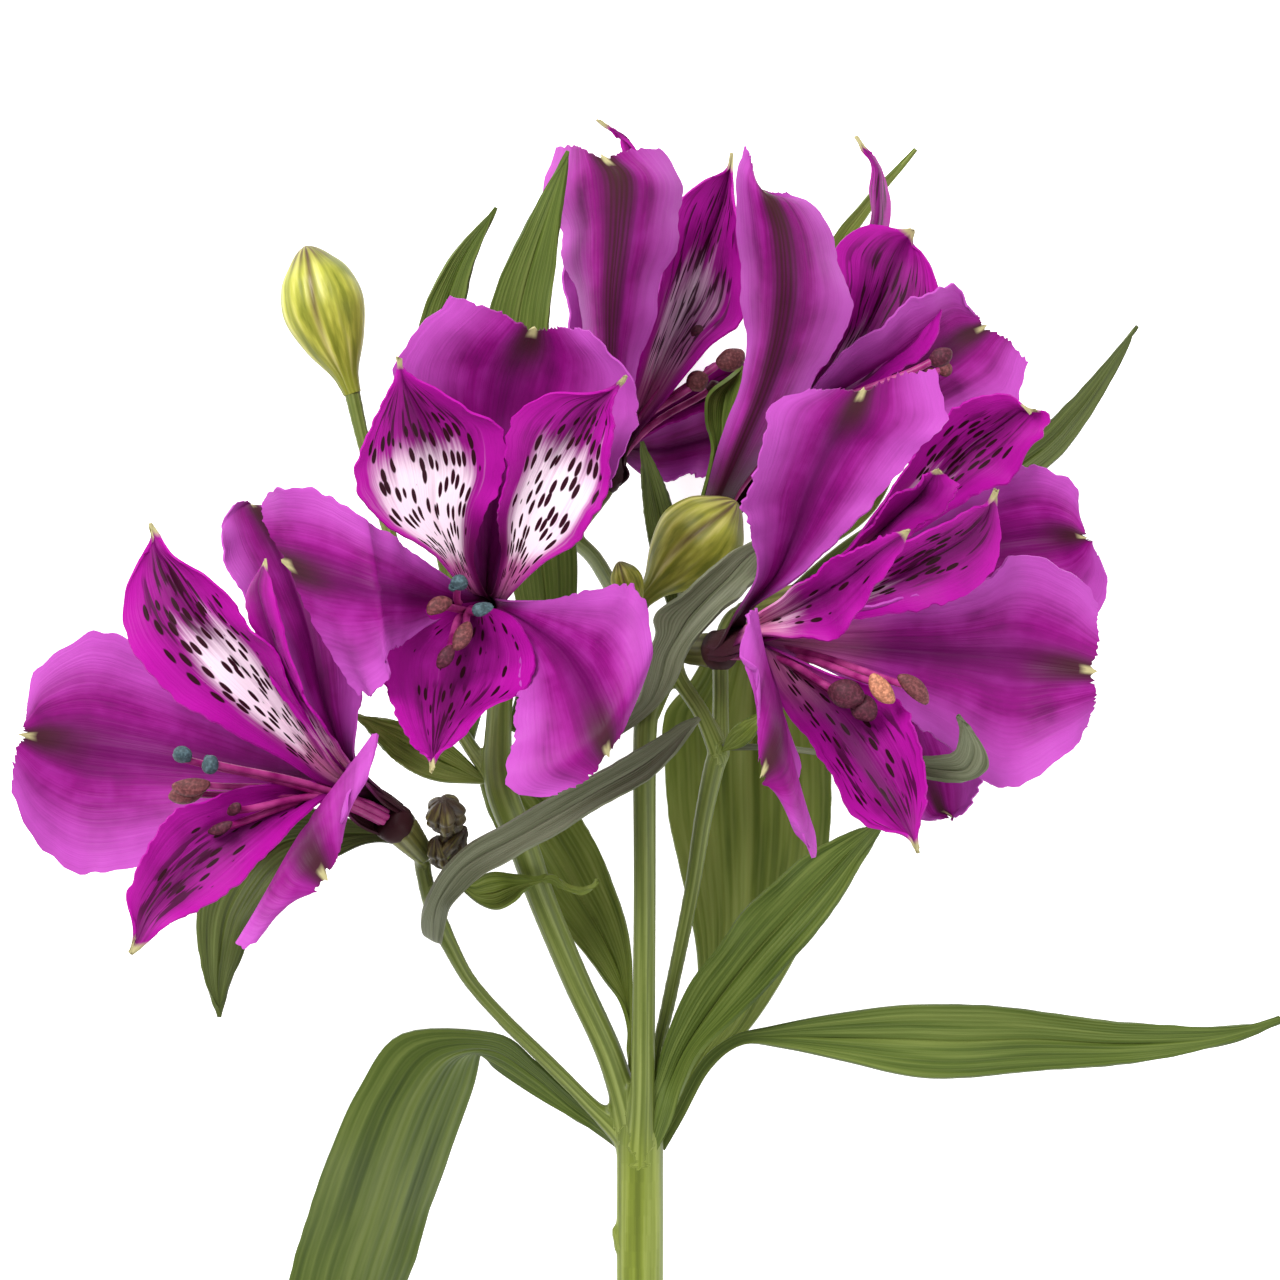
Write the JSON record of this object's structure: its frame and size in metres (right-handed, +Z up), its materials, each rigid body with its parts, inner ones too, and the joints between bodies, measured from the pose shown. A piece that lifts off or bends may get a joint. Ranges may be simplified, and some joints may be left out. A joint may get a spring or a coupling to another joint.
{
  "type": "cut alstroemeria stem",
  "caption": "Cut stem lying on a surface: a straight stalk that branches into an umbel of open purple flowers with stamens, buds, bracts and lance-shaped leaves.",
  "frame": {"origin": "centre of the bounding box, on the surface that the stem lies on", "axes": "+Y from the cut end of the stalk towards the flowers, +Z up from the surface, +X to the right of the umbel seen from above"},
  "size_m": [0.1912, 0.306, 0.1073],
  "materials": {
    "petals": "satin petal",
    "stamens": "matt anther and filament",
    "leaves": "satin leaf with parallel veins",
    "bracts": "matt grey-green leaf",
    "buds": "satin bud",
    "stem": "smooth fresh stalk"
  },
  "bodies": {
    "root": {"stem": "stem", "flower_left": "petals", "flower_front": "petals", "flower_top": "petals", "flower_upper_right": "petals", "flower_right": "petals", "flower_far_right": "petals", "stamens_left": "stamens", "stamens_front": "stamens", "stamens_top": "stamens", "stamens_upper_right": "stamens", "stamens_right": "stamens", "stamens_far_right": "stamens", "leaf_drooping": "leaves", "leaf_right": "leaves", "leaf_diagonal": "leaves", "leaf_broad": "leaves", "leaf_inner": "leaves", "leaf_top_left": "leaves", "leaf_top": "leaves", "leaf_behind": "leaves", "leaf_far_right": "leaves", "leaf_back": "leaves", "leaf_middle": "leaves", "bract_long": "bracts", "bract_upper": "bracts", "bract_left": "bracts", "bract_small": "bracts", "bract_right": "bracts", "bud_left": "buds", "bud_middle": "buds", "bud_small": "buds", "bud_spent": "buds"}
  },
  "joints": []
}
